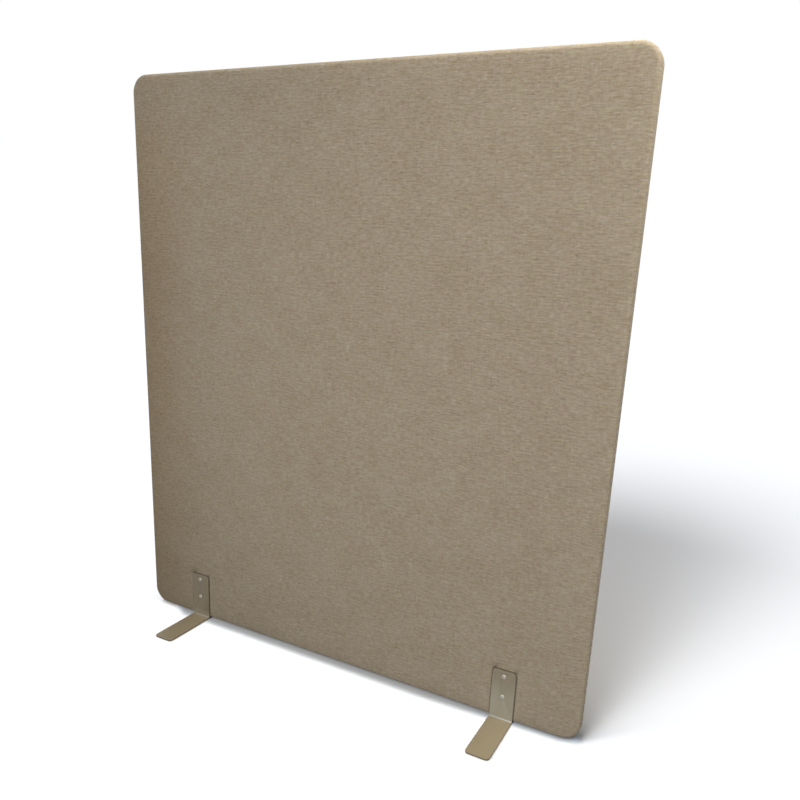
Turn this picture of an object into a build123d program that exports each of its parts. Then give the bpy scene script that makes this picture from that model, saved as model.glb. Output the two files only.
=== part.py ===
from build123d import *
import math
import os

# An upholstered screen that stands by itself on four bent flat-steel feet, in millimetres.
# The panel stands across X with its front towards -Y. The floor is at Z = 0.

# The panel as it stands
panel_width = 1350.0
panel_height = 1500.0
panel_corner_radius = 45.0
floor_gap = 2.0

# The panel's layers, from the timber outwards
frame_thickness = 24.0
wadding_thickness = 7.0
edge_wadding_thickness = 3.0
cloth_thickness = 1.0
edge_roll_radius = 10.0
roll_turns = 3

# Timber frame and what fills it
stile_width = 45.0
mid_stile_width = 45.0
rail_height = 45.0
core_fit = 0.3

# Loose tenons in the frame's joints
tenon_width = 24.0
tenon_thickness = 8.0
tenon_length = 40.0
tenon_fit = 0.1
tenon_end_room = 1.0
block_tenon_spacing = 66.0

# Blocks in the frame that take the feet's screws
block_width = 110.0
block_over_leaf = 8.0

# Feet, bent from flat bar
foot_inset = 193.0
foot_width = 60.0
foot_thickness = 4.0
foot_reach = 155.0
foot_bend_radius = 3.0
foot_corner_radius = 9.0
lower_screw_height = 66.0
screw_spacing = 55.0
leaf_end_margin = 15.0

# How the leaves press into the padding
foot_press = 2.0
dimple_run = 6.0
leaf_fit = 0.3

# Screws, and the threaded sleeves that each join a front and a back screw
screw_diameter = 6.0
screw_length = 16.0
screw_head_diameter = 12.0
screw_head_height = 3.6
screw_head_rim = 1.0
screw_dome_radius = 6.5
screw_flat_share = 2 / 3
screw_socket_width = 4.0
screw_socket_depth = 2.0
screw_hole_clearance = 0.3
sleeve_diameter = 10.0
sleeve_fit = 0.1
thread_fit = 0.1

# Closing strip and staples under the panel
strip_thickness = 1.0
strip_side_margin = 1.0
strip_end_margin = 10.0
staple_crown = 8.0
staple_leg = 11.0
staple_wire_width = 1.2
staple_wire_thickness = 0.7
staple_pitch = 200.0
staple_end_margin = 25.0
staple_row_spacing = 12.0
staple_fit = 0.15

# Places worked out from the sizes above
half_thickness = frame_thickness / 2 + wadding_thickness + cloth_thickness
panel_middle = floor_gap + panel_height / 2
frame_inset = cloth_thickness + edge_wadding_thickness
frame_half_width = panel_width / 2 - frame_inset
frame_bottom = floor_gap + frame_inset
frame_top = floor_gap + panel_height - frame_inset
stile_inner_edge = frame_half_width - stile_width
bay_bottom = frame_bottom + rail_height
bay_top = frame_top - rail_height
leaf_height = lower_screw_height + screw_spacing + leaf_end_margin
leaf_back = -(half_thickness - foot_press)
leaf_front = leaf_back - foot_thickness
block_top = leaf_height + block_over_leaf
foot_places = (foot_inset - panel_width / 2, panel_width / 2 - foot_inset)
screw_heights = (lower_screw_height, lower_screw_height + screw_spacing)

# The panel's middle plane seen from the front, with its own Z axis out towards the viewer
front_side = Plane(origin=(0, 0, 0), x_dir=(1, 0, 0), z_dir=(0, -1, 0))


def outline(inset):
    """The panel's rounded outline, drawn in by inset, on the middle plane."""
    shape = RectangleRounded(
        panel_width - 2 * inset, panel_height - 2 * inset, panel_corner_radius - inset
    )
    return front_side * Pos(0, panel_middle) * shape


def leaf_dimple(inset):
    """The dip that a leaf presses into the padding, its slope carried on past the face."""
    rims = []
    for share in (0, 2):
        grow = leaf_fit + share * dimple_run
        rim = RectangleRounded(
            foot_width + 2 * grow, 2 * (leaf_height + grow), foot_corner_radius + grow
        )
        rims.append(Pos(0, 0, share * foot_press - leaf_back - inset) * rim.face())
    return loft(rims, ruled=True)


def leaf_dimples(inset):
    """The dips of both front leaves, drawn in by inset."""
    return [front_side * Pos(x, 0) * leaf_dimple(inset) for x in foot_places]


def front_form():
    """The front half of the padded panel, with its rolled edge and the dips of two leaves."""
    slab = extrude(outline(0), half_thickness)
    face_rim = slab.faces().sort_by(Axis.Y)[0].edges()
    return fillet(face_rim, edge_roll_radius) - leaf_dimples(0)


def front_padding():
    """What the front cloth wraps, its rolled edge laid over in flat turns."""
    straight = half_thickness - edge_roll_radius
    roll = edge_roll_radius - cloth_thickness
    sections = [outline(cloth_thickness).face()]
    for turn in range(roll_turns + 1):
        angle = math.radians(90) * turn / roll_turns
        section = outline(cloth_thickness + roll * (1 - math.cos(angle)))
        sections.append(Pos(0, -(straight + roll * math.sin(angle)), 0) * section.face())
    return loft(sections, ruled=True) - leaf_dimples(cloth_thickness)


def frame_slab():
    """The whole space that the timber frame and its core take up."""
    return extrude(outline(frame_inset), frame_thickness / 2, both=True)


def at_front_screws(tool):
    """A tool at each screw of the front feet, with its Z axis out of the panel."""
    return [front_side * Pos(x, z) * tool for x in foot_places for z in screw_heights]


def at_all_screws(tool):
    """A tool at each screw of the front feet and of their twins behind."""
    front = at_front_screws(tool)
    return front + [behind(piece) for piece in front]


def screw_cuts():
    """The square cuts in cloth and felt that the screws of the front feet pass through."""
    side = screw_diameter + 2 * screw_hole_clearance
    return at_front_screws(Box(side, side, 2 * half_thickness))


def sleeve_ways():
    """The holes through the timber for the threaded sleeves."""
    return at_front_screws(Cylinder(sleeve_diameter / 2 + sleeve_fit, 2 * half_thickness))


def tenon_places():
    """The middle of each loose tenon, turned so that its length is along the Z axis."""
    lying = Rotation(0, 90, 0)
    rail_middles = (frame_bottom + rail_height / 2, frame_top - rail_height / 2)
    places = [Pos(side * stile_inner_edge, 0, z) * lying for side in (-1, 1) for z in rail_middles]
    places += [Pos(0, 0, z) for z in (bay_bottom, bay_top)]
    for x in foot_places:
        for step in (-block_tenon_spacing / 2, block_tenon_spacing / 2):
            places.append(Pos(x + step, 0, bay_bottom))
    return places


def tenons(fit, end_room):
    """All loose tenons, or with a fit and room at the ends, their mortises."""
    tenon = Box(tenon_width + 2 * fit, tenon_thickness + 2 * fit, tenon_length + 2 * end_room)
    return [place * tenon for place in tenon_places()]


def staple_places():
    """Each staple's place on the underside of the closing strip."""
    usable = strip_length() - 2 * staple_end_margin
    steps = max(1, round(usable / staple_pitch))
    rows = (-staple_row_spacing / 2, staple_row_spacing / 2)
    pitch = usable / steps
    return [
        Pos(-usable / 2 + step * pitch, y, floor_gap - strip_thickness)
        for y in rows
        for step in range(steps + 1)
    ]


def staple_leg_blanks(fit):
    """The two legs of a staple, or with a fit, the slots that they make."""
    leg = Box(
        staple_wire_thickness + 2 * fit,
        staple_wire_width + 2 * fit,
        staple_leg + fit,
        align=(Align.CENTER, Align.CENTER, Align.MIN),
    )
    return [Pos(side * staple_crown / 2, 0, 0) * leg for side in (-1, 1)]


def staple_ways():
    """The slots that all staples make in what they go through."""
    slots = staple_leg_blanks(staple_fit)
    return [place * slot for place in staple_places() for slot in slots]


def timber(x_low, x_high, z_low, z_high):
    """A frame member between two heights and two sides, rounded with the frame."""
    blank = Pos((x_low + x_high) / 2, 0, (z_low + z_high) / 2) * Box(
        x_high - x_low, frame_thickness, z_high - z_low
    )
    return blank & frame_slab()


def strip_length():
    """The length of the closing strip, along the straight of the bottom edge."""
    return panel_width - 2 * (panel_corner_radius + strip_end_margin)


def make_stile(side):
    """A side stile, as tall as the frame, with its two outer corners rounded."""
    edges = sorted((side * stile_inner_edge, side * frame_half_width))
    return timber(*edges, frame_bottom, frame_top) - tenons(tenon_fit, tenon_end_room)


def make_mid_stile():
    """The middle stile, between the two rails."""
    stile = timber(-mid_stile_width / 2, mid_stile_width / 2, bay_bottom, bay_top)
    return stile - tenons(tenon_fit, tenon_end_room)


def make_top_rail():
    """The top rail, between the side stiles."""
    rail = timber(-stile_inner_edge, stile_inner_edge, bay_top, frame_top)
    return rail - tenons(tenon_fit, tenon_end_room)


def make_bottom_rail():
    """The bottom rail, which also takes the staples."""
    rail = timber(-stile_inner_edge, stile_inner_edge, frame_bottom, bay_bottom)
    rail -= tenons(tenon_fit, tenon_end_room)
    return rail - staple_ways()


def make_foot_block(x):
    """A block on the bottom rail, drilled for two threaded sleeves."""
    block = timber(x - block_width / 2, x + block_width / 2, bay_bottom, block_top)
    block -= tenons(tenon_fit, tenon_end_room)
    return block - sleeve_ways()


def make_core_slab(side):
    """A slab that fills one bay of the frame and goes round its foot block."""
    inner = mid_stile_width / 2 + core_fit
    outer = stile_inner_edge - core_fit
    low, high = sorted((side * inner, side * outer))
    slab = timber(low, high, bay_bottom + core_fit, bay_top - core_fit)
    notch_width = block_width + 2 * core_fit
    notch_height = 2 * (block_top - bay_bottom + core_fit)
    notch = Pos(side * foot_places[1], 0, bay_bottom) * Box(notch_width, 2 * frame_thickness, notch_height)
    return slab - notch


def make_front_wadding():
    """Felt on the front of the frame, which wraps its edge as far as the middle."""
    return front_padding() - frame_slab() - screw_cuts() - staple_ways()


def make_front_cover():
    """The front cloth, from the middle of the edge over the roll and the face."""
    return front_form() - front_padding() - screw_cuts() - staple_ways()


def make_closing_strip():
    """A strip of tape under the bottom edge, over the line where the cloths meet."""
    width = 2 * (half_thickness - edge_roll_radius - strip_side_margin)
    strip = Pos(0, 0, floor_gap) * Box(
        strip_length(), width, strip_thickness, align=(Align.CENTER, Align.CENTER, Align.MAX)
    )
    return strip - staple_ways()


def make_staples():
    """The staples, with their crowns under the strip and their legs in the rail."""
    crown = Box(
        staple_crown + staple_wire_thickness,
        staple_wire_width,
        staple_wire_thickness,
        align=(Align.CENTER, Align.CENTER, Align.MAX),
    )
    staple = crown + staple_leg_blanks(0)
    return [place * staple for place in staple_places()]


def make_foot(x):
    """A front foot: one leaf up the cloth, a tight bend and one leaf along the floor."""
    tip = -(half_thickness + foot_reach)
    points = (
        (leaf_back, leaf_height),
        (leaf_front, leaf_height),
        (leaf_front, foot_thickness),
        (tip, foot_thickness),
        (tip, 0),
        (leaf_back, 0),
    )
    side_view = make_face(Polyline(*points, close=True))
    inside = side_view.vertices().sort_by_distance((leaf_front, foot_thickness))[0]
    side_view = fillet(inside, foot_bend_radius)
    outside = side_view.vertices().sort_by_distance((leaf_back, 0))[0]
    side_view = fillet(outside, foot_bend_radius + foot_thickness)
    bar = extrude(Plane.YZ * side_view, foot_width / 2, both=True)
    leaf_corners = bar.edges().filter_by(Axis.Y).group_by(Axis.Z)[-1]
    tip_corners = bar.edges().filter_by(Axis.Z).group_by(Axis.Y)[0]
    bar = fillet(leaf_corners + tip_corners, foot_corner_radius)
    hole = Cylinder(screw_diameter / 2 + screw_hole_clearance, 4 * half_thickness)
    for z in screw_heights:
        bar -= front_side * Pos(0, z) * hole
    return Pos(x, 0, 0) * bar


def make_foot_screw():
    """A round-headed screw with a hexagon socket, its seat on the origin."""
    shank_radius = screw_diameter / 2
    head_radius = screw_head_diameter / 2
    flat_radius = screw_socket_width * screw_flat_share
    head_line = Polyline(
        (flat_radius, screw_head_height),
        (0, screw_head_height),
        (0, -screw_length),
        (shank_radius, -screw_length),
        (shank_radius, 0),
        (head_radius, 0),
        (head_radius, screw_head_rim),
    )
    dome = RadiusArc((head_radius, screw_head_rim), (flat_radius, screw_head_height), -screw_dome_radius)
    screw = revolve(Plane.XZ * make_face([head_line, dome]), Axis.Z)
    socket = Pos(0, 0, screw_head_height - screw_socket_depth) * extrude(
        RegularPolygon(screw_socket_width / 2, 6, major_radius=False), screw_socket_depth
    )
    return screw - socket


def make_sleeve():
    """A threaded sleeve through the timber, open at both ends."""
    bore = Cylinder(screw_diameter / 2 + thread_fit, 2 * frame_thickness)
    return Cylinder(sleeve_diameter / 2, frame_thickness) - bore


def behind(piece):
    """The piece's twin on the other side of the panel."""
    return mirror(piece, about=Plane.XZ)


def make_nodes():
    """Every piece of the screen by its name."""
    left, right = foot_places
    screw = Pos(0, 0, -leaf_front) * make_foot_screw()
    front_wadding = make_front_wadding()
    front_cover = make_front_cover()
    return {
        "frame_left_stile": make_stile(-1),
        "frame_right_stile": make_stile(1),
        "frame_mid_stile": make_mid_stile(),
        "frame_top_rail": make_top_rail(),
        "frame_bottom_rail": make_bottom_rail(),
        "left_foot_block": make_foot_block(left),
        "right_foot_block": make_foot_block(right),
        "frame_tenons": tenons(0, 0),
        "left_core_slab": make_core_slab(-1),
        "right_core_slab": make_core_slab(1),
        "front_wadding": front_wadding,
        "back_wadding": behind(front_wadding),
        "front_cover": front_cover,
        "back_cover": behind(front_cover),
        "bottom_closing_strip": make_closing_strip(),
        "cover_staples": make_staples(),
        "front_left_foot": make_foot(left),
        "front_right_foot": make_foot(right),
        "back_left_foot": behind(make_foot(left)),
        "back_right_foot": behind(make_foot(right)),
        "foot_screws": at_all_screws(screw),
        "threaded_sleeves": at_front_screws(make_sleeve()),
    }


os.makedirs("parts", exist_ok=True)
for node_name, node_shape in make_nodes().items():
    if isinstance(node_shape, list):
        node_shape = Compound([solid for piece in node_shape for solid in piece.solids()])
    export_step(node_shape, f"parts/{node_name}.step")
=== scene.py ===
import math

import bmesh
import bpy
import numpy as np
from bpy.props import FloatProperty, FloatVectorProperty, IntProperty, PointerProperty
from mathutils import Matrix, Vector, noise


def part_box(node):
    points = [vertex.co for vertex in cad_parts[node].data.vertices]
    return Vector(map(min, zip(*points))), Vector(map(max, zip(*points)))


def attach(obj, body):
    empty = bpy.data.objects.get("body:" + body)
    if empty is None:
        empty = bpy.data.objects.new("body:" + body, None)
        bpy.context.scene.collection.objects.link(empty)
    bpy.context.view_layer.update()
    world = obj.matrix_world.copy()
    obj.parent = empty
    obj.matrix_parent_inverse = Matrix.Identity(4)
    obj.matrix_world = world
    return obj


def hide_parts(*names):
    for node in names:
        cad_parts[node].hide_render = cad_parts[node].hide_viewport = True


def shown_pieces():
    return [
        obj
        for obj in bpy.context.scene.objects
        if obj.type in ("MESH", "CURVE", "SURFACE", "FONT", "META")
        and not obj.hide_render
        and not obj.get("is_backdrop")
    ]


bl_info = {
    "name": "Upholstered Floor Screen",
    "version": (1, 0, 0),
    "blender": (4, 5, 0),
    "location": "3D View > Sidebar > Screen",
    "description": "Dresses an upholstered screen on bent flat-steel feet around its packed model",
    "category": "Object",
}

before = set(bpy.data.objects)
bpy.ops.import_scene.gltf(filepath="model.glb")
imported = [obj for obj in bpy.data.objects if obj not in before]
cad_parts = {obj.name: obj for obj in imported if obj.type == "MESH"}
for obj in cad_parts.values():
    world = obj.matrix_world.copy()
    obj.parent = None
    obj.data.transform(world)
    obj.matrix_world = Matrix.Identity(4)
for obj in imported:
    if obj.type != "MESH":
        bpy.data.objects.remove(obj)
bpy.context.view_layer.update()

BODY = "root"
FRONT, BACK = -1, 1

# The panel and the feet as the frame gives them, in metres
cover_low, cover_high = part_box("front_cover")
panel_half_width = cover_high.x
panel_half_height = (cover_high.z - cover_low.z) / 2
panel_middle = (cover_high.z + cover_low.z) / 2
panel_half_thickness = -cover_low.y
timber_half_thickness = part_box("frame_top_rail")[1].y
timber_inset = cover_high.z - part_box("frame_top_rail")[1].z
foot_boxes = [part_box("front_left_foot"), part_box("front_right_foot")]
foot_places = [(low.x + high.x) / 2 for low, high in foot_boxes]
foot_half_width = (foot_boxes[0][1].x - foot_boxes[0][0].x) / 2
leaf_height = foot_boxes[0][1].z
leaf_back = -foot_boxes[0][1].y
screw_low, screw_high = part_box("foot_screws")
screw_head_half = (screw_high.x - screw_low.x) / 2 - foot_places[1]
screw_heights = (screw_low.z + screw_head_half, screw_high.z - screw_head_half)
screw_face = -screw_low.y


def length(name, description, default):
    """A length property in metres."""
    return FloatProperty(name=name, description=description, default=default, min=0, unit="LENGTH")


def triple(name, description, default, **kind):
    """Three values that belong together."""
    return FloatVectorProperty(name=name, description=description, default=default, size=3, **kind)


def colour(name, description, default):
    """A linear colour property."""
    return triple(name, description, default, min=0, max=1, subtype="COLOR")


def angle(name, description, degrees):
    """An angle property, given in degrees."""
    return FloatProperty(name=name, description=description, default=math.radians(degrees), subtype="ANGLE")


def share(name, description, default, most=1.0):
    """A share or a strength."""
    return FloatProperty(name=name, description=description, default=default, min=0, max=most)


def power(name, description, watts):
    """The power of a lamp."""
    return FloatProperty(name=name, description=description, default=watts, min=0, unit="POWER")


class ScreenCoverSettings(bpy.types.PropertyGroup):
    """Sizes and colours of the cloth covers."""

    corner_radius: length("Corner Radius", "Radius of the panel's outline at its corners", 0.045)
    roll_radius: length("Roll Radius", "Radius of the soft edge between face and side", 0.010)
    cloth_thickness: length("Cloth Thickness", "Thickness of the cover cloth", 0.001)
    leaf_clearance: length("Leaf Clearance", "Gap between the cloth and a foot's leaf", 0.0002)
    leaf_corner: length("Leaf Corner", "Radius of a leaf's top corners", 0.009)
    groove_floor: length("Groove Floor", "Width of the groove's floor beside a leaf", 0.0009)
    groove_rise: length("Groove Rise", "How far the cloth takes to rise out of the groove", 0.0032)
    bulge_height: length("Bulge Height", "Height of the padding pushed up beside a leaf", 0.0006)
    bulge_reach: length("Bulge Reach", "How far the bulge beside a leaf runs out", 0.013)
    crown_drop: length("Crown Drop", "How much thinner the panel is at its sides", 0.0035)
    crown_reach: length("Crown Reach", "How far in from the sides the crown begins", 0.09)
    top_drop: length("Top Drop", "How much thinner the panel is at its top", 0.0015)
    bottom_drop: length("Bottom Drop", "How much thinner the panel is at its bottom", 0.0025)
    end_reach: length("End Reach", "How far in from the top and bottom the crown begins", 0.045)
    crease_depth: length("Crease Depth", "Depth of the creases at a leaf's corners", 0.0011)
    crease_length: length("Crease Length", "Length of the creases at a leaf's corners", 0.030)
    wave_height: length("Wave Height", "Height of the slow waves in the padding", 0.0004)
    wave_length: length("Wave Length", "Length of the slow waves in the padding", 0.21)
    gather_height: length("Gather Height", "Height of the gathers round the corners", 0.0002)
    seam_depth: length("Seam Depth", "Depth of the sewn seam round the edge", 0.0009)
    seam_width: length("Seam Width", "Half the width of the seam's groove", 0.0022)
    border_step: length("Border Step", "Spacing of the mesh lines in the flat border", 0.005)
    roll_step: length("Roll Step", "Spacing of the mesh lines round the roll", 0.0015)
    side_step: length("Side Step", "Spacing of the mesh lines on the side", 0.0026)
    coarse_step: length("Coarse Step", "Spacing of the mesh on the plain face", 0.020)
    fine_step: length("Fine Step", "Spacing of the mesh where the cloth is creased", 0.0022)
    finest_step: length("Finest Step", "Spacing of the mesh in a leaf's groove", 0.0008)
    yarn_pitch: length("Yarn Pitch", "Distance between neighbouring yarns", 0.0012)
    streak_length: length("Streak Length", "Length of a heather streak", 0.030)
    streak_height: length("Streak Height", "Height of a heather streak", 0.0032)
    body_colour: colour("Body Colour", "Main colour of the heather yarn", (0.302, 0.252, 0.185))
    green_tint: colour("Green Tint", "Yellow-green streaks in the yarn", (0.325, 0.288, 0.185))
    pink_tint: colour("Pink Tint", "Pinkish streaks in the yarn", (0.322, 0.245, 0.193))
    grey_tint: colour("Grey Tint", "Dark flecks in the yarn", (0.190, 0.156, 0.128))
    pale_tint: colour("Pale Tint", "Pale flecks in the yarn", (0.420, 0.362, 0.273))
    # Painted shade: the left strip of the cloth, below the top, is painted darker and yellower
    left_shade_tint: colour("Aged Tint", "What yellowing leaves of each of the cloth's colours", (0.93, 0.87, 0.79))
    left_shade_width: length("Aged Width", "How far in from the left edge the cloth has yellowed", 0.255)
    yarn_steps: triple("Yarn Steps", "How much yarns differ in red, green and blue", (1.0, 1.25, 1.68))
    # Painted shade in the creases and in the grooves round the leaves: its colour and its strength
    crease_shade_tint: colour("Crease Tint", "Colour that the cloth takes deep in a crease", (0.055, 0.040, 0.030))
    crease_shade: share("Crease Shade", "How strongly the creases darken", 0.75)


class ScreenPaddingSettings(bpy.types.PropertyGroup):
    """Sizes and colours of what lies inside the covers."""

    clearance: length("Clearance", "Gap between the felt and its neighbours", 0.0003)
    felt_colour: colour("Felt Colour", "Colour of the felt wadding", (0.85, 0.84, 0.80))
    core_colour: colour("Core Colour", "Colour of the sound-absorbing core", (0.55, 0.56, 0.56))
    core_edge: length("Core Edge", "Softening of the core slabs' edges", 0.003)
    tape_colour: colour("Tape Colour", "Colour of the closing strip", (0.05, 0.05, 0.05))
    tape_rib: length("Tape Rib", "Distance between the closing strip's ribs", 0.0011)
    timber_colour: colour("Timber Colour", "Colour of the pine between its rings", (0.72, 0.55, 0.36))
    tenon_colour: colour("Tenon Colour", "Colour of the beech tenons", (0.76, 0.60, 0.42))
    sleeve_colour: colour("Sleeve Colour", "Colour of the plated sleeves", (0.60, 0.58, 0.50))


class ScreenFootSettings(bpy.types.PropertyGroup):
    """Sizes and colours of the feet and of what holds them."""

    edge_round: length("Edge Round", "Rounding along the flat bar's edges", 0.0006)
    paint_colour: colour("Paint Colour", "Colour of the feet's pearl lacquer", (0.212, 0.179, 0.121))
    # Painted shade on the bar's sides and ends
    edge_shade_colour: colour("Cut Colour", "Colour of the bar's cut edges", (0.13, 0.11, 0.08))
    # Painted highlight in the inside of the bend: its colour
    bend_highlight_colour: colour("Bend Colour", "Colour of the bar where its bend is rubbed", (0.250, 0.255, 0.245))
    # Painted shade high on the upright leaves, and painted light low on them and on the right feet's uprights
    shaded_upright_colour: colour("Leaf Colour", "Colour of the lacquer high on a leaf", (0.182, 0.150, 0.103))
    lit_upright_colour: colour("Worn Colour", "Colour of the lacquer low on a leaf", (0.280, 0.260, 0.206))
    # How strong the painted highlight in the bends is on the left and right feet
    left_bend_highlight: share("Left Rub", "How far the left feet's bends are rubbed", 0.3)
    right_bend_highlight: share("Right Rub", "How far the right feet's bends are rubbed", 0.9)
    head_radius: length("Head Radius", "Radius of a screw's head", 0.006)
    head_height: length("Head Height", "Height of a screw's head", 0.0036)
    socket_width: length("Socket Width", "Width across the flats of the hexagon socket", 0.004)
    socket_depth: length("Socket Depth", "Depth of the hexagon socket", 0.002)
    shank_radius: length("Shank Radius", "Radius of a screw's shank", 0.003)
    shank_length: length("Shank Length", "Length of a screw's shank", 0.016)
    zinc_colour: colour("Zinc Colour", "Colour of the plated screws", (0.41, 0.40, 0.34))
    turn_seed: IntProperty(name="Turn Seed", description="Seed for how far each screw is turned", default=4)


class ScreenTrimSettings(bpy.types.PropertyGroup):
    """Sizes of the staples, of the closing tape and of the edge seam's stitches."""

    staple_crown: length("Staple Crown", "Width of a staple between its legs", 0.008)
    staple_leg: length("Staple Leg", "Length of a staple's legs", 0.011)
    wire_width: length("Wire Width", "Width of the staple wire", 0.0012)
    wire_thickness: length("Wire Thickness", "Thickness of the staple wire", 0.0007)
    staple_rows: length("Staple Rows", "Distance between the two rows of staples", 0.012)
    staple_count: IntProperty(name="Staples in a Row", description="Staples in each row", default=7, min=2)
    staple_colour: colour("Staple Colour", "Colour of the staple wire", (0.60, 0.60, 0.58))
    tape_columns: IntProperty(name="Tape Columns", description="Mesh columns of the tape", default=180, min=1)
    tape_edge: length("Tape Edge", "Width of the bevel along the tape's edges", 0.00025)
    tape_margin: length("Tape Margin", "How far the tape's edges lie inside its node's", 0.0005)
    tape_wander: length("Tape Wander", "How far the tape runs out of straight", 0.00035)
    tape_lift: length("Tape Lift", "How far the tape's underside lifts", 0.00012)
    stitch_pitch: length("Stitch Pitch", "Distance between the seam's stitches", 0.006)
    stitch_length: length("Stitch Length", "Length of a stitch across the seam", 0.0032)
    stitch_radius: length("Stitch Radius", "Radius of the sewing thread", 0.00035)
    stitch_slant: FloatProperty(
        name="Stitch Slant", description="Slant of the seam's stitches", default=0.35, subtype="ANGLE"
    )


class ScreenStageSettings(bpy.types.PropertyGroup):
    """Camera, lights and floor."""

    camera_place: triple(
        "Camera Place", "Where the camera stands", (0.9540, -1.4823, 1.1061), subtype="TRANSLATION"
    )
    camera_right: triple(
        "Camera Right", "Direction of the picture's right", (0.89506, 0.44254, 0.05498), subtype="DIRECTION"
    )
    camera_ahead: triple(
        "Camera Ahead", "Direction that the camera looks in", (-0.41613, 0.87318, -0.25377),
        subtype="DIRECTION",
    )
    camera_lens: FloatProperty(name="Lens", description="Focal length in millimetres", default=32.12, min=1)
    camera_shift_x: FloatProperty(name="Shift X", description="Sideways shift of the lens", default=-0.04216)
    camera_shift_y: FloatProperty(name="Shift Y", description="Upward shift of the lens", default=0.04655)
    key_level: share("Key Level", "Light of the key on a surface that faces it", 0.245, 10)
    key_height: angle("Key Height", "How high the key stands above the horizon", 35)
    key_side: angle("Key Side", "How far to the left of the panel's front the key stands", 14)
    key_softness: angle("Key Softness", "How wide each of the key's three lamps looks", 23)
    key_spread: angle("Key Spread", "Angle between the key's three lamps", 9)
    front_power: power("Front Power", "Power of the spot in front, towards the right", 372)
    front_cone: angle("Front Cone", "Whole angle of the front spot's soft cone", 44)
    corner_power: power("Corner Power", "Power of the spot on the top left corner", 125)
    corner_cone: angle("Corner Cone", "Whole angle of that spot's soft cone", 16)
    low_power: power("Low Power", "Power of the spot on the middle of the face", 34)
    low_cone: angle("Low Cone", "Whole angle of that spot's soft cone", 30)
    over_power: power("Over Power", "Power of the lamp over the top edge", 50)
    feet_power: power("Feet Power", "Power of the lamp above the feet", 31)
    back_power: power("Back Power", "Power of the large lamp behind", 62)
    fill_strength: share("Fill Strength", "Strength of the even light from all round", 0.105, 10)
    front_light: colour("Front Light", "Colour of the lamps in front", (1.0, 0.985, 0.96))
    over_light: colour("Over Light", "Colour of the lamps overhead", (1.0, 0.95, 0.84))
    floor_colour: colour("Floor Colour", "Colour of the floor as it lights the screen", (0.07, 0.07, 0.07))
    floor_gain: share("Floor Gain", "How brightly the camera sees the floor's light", 4.36, 10)
    contact_shade: colour("Contact Shade", "Light left on the floor under the panel", (0.318, 0.323, 0.326))
    floor_tint: colour("Floor Tint", "Evens out the cloth's warm light on the floor", (0.945, 0.965, 1.0))
    side_shade: share("Side Shade", "How deep the panel's shade is beside and behind it", 0.84)
    side_fade: share("Side Fade", "How fast that shade fades with the root of the distance", 5.5, 20)
    contact_lead: triple(
        "Contact Lead", "How much sooner that shade ends in red, green and blue", (0.0, 0.0012, 0.0025),
        unit="LENGTH",
    )
    contact_start: length("Contact Start", "How far from the panel that shade begins to fade", 0.006)
    contact_end: length("Contact End", "How far from the panel that shade ends", 0.040)
    contact_taper: length("Contact Taper", "How much narrower that shade is at the panel's right end", 0.019)
    corner_taper: length("Corner Taper", "How much narrower still it is under the right corner", 0.018)
    foot_reach: length("Foot Reach", "How far the shade beside the feet reaches", 0.012)
    foot_shade: share("Foot Shade", "Light left on the floor close beside the feet", 0.55)


def settings(name):
    """One of the scene's groups of settings."""
    return getattr(bpy.context.scene, name)


# Node trees


def wire(tree, kind, inputs=None, **values):
    """Adds a node, sets its values, and links or sets its inputs."""
    node = tree.nodes.new(kind)
    for name, value in values.items():
        setattr(node, name, value)
    for name, value in (inputs or {}).items():
        if isinstance(value, bpy.types.NodeSocket):
            tree.links.new(value, node.inputs[name])
        else:
            node.inputs[name].default_value = value
    return node


def calc(tree, operation, *values):
    """The result of a Math node."""
    return wire(tree, "ShaderNodeMath", dict(enumerate(values)), operation=operation).outputs[0]


def times(tree, first, second):
    """One value times another."""
    return calc(tree, "MULTIPLY", first, second)


def plus(tree, first, second):
    """The sum of two values."""
    return calc(tree, "ADD", first, second)


def sloped(tree, value, slope, start):
    """The start plus the slope times the value."""
    return calc(tree, "MULTIPLY_ADD", value, slope, start)


def larger(tree, first, second=0.0):
    """The larger of two values."""
    return calc(tree, "MAXIMUM", first, second)


def noise_at(tree, place, scale, detail=2.0, roughness=0.5, move=(0, 0, 0)):
    """The value of a noise at a place that is scaled along each axis and then moved."""
    place = wire(tree, "ShaderNodeMapping", {"Vector": place, "Scale": scale, "Location": move}).outputs[0]
    inputs = {"Vector": place, "Scale": 1.0, "Detail": detail, "Roughness": roughness}
    return wire(tree, "ShaderNodeTexNoise", inputs).outputs["Fac"]


def ramp(tree, value, low, high, low_result=0.0, high_result=1.0):
    """The value carried softly from one range to another, and kept inside it."""
    inputs = {"Value": value, "From Min": low, "From Max": high, "To Min": low_result, "To Max": high_result}
    return wire(tree, "ShaderNodeMapRange", inputs, interpolation_type="SMOOTHSTEP").outputs[0]


def blended(tree, factor, first, second, blend_type="MIX"):
    """A mix of two colours."""
    inputs = {"Factor": factor, 6: first, 7: second}
    return wire(tree, "ShaderNodeMix", inputs, data_type="RGBA", blend_type=blend_type).outputs[2]


def opaque(rgb, light=1.0):
    """A colour, made lighter or darker, with its fourth value."""
    return (*(value * light for value in rgb), 1.0)


def coloured(tree, values):
    """A colour from its red, green and blue."""
    return wire(tree, "ShaderNodeCombineColor", dict(zip(("Red", "Green", "Blue"), values))).outputs[0]


def vector(tree, x=0.0, y=0.0, z=0.0):
    """A vector made of three values or sockets."""
    return wire(tree, "ShaderNodeCombineXYZ", {"X": x, "Y": y, "Z": z}).outputs[0]


def split(tree, place):
    """The three values of a vector."""
    return wire(tree, "ShaderNodeSeparateXYZ", {"Vector": place}).outputs


def marked(tree, name, output="Fac"):
    """What the piece's own attribute holds."""
    return wire(tree, "ShaderNodeAttribute", attribute_name=name).outputs[output]


def object_coordinates(tree):
    """Coordinates fixed to the piece, in metres."""
    return wire(tree, "ShaderNodeTexCoord").outputs["Object"]


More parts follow.
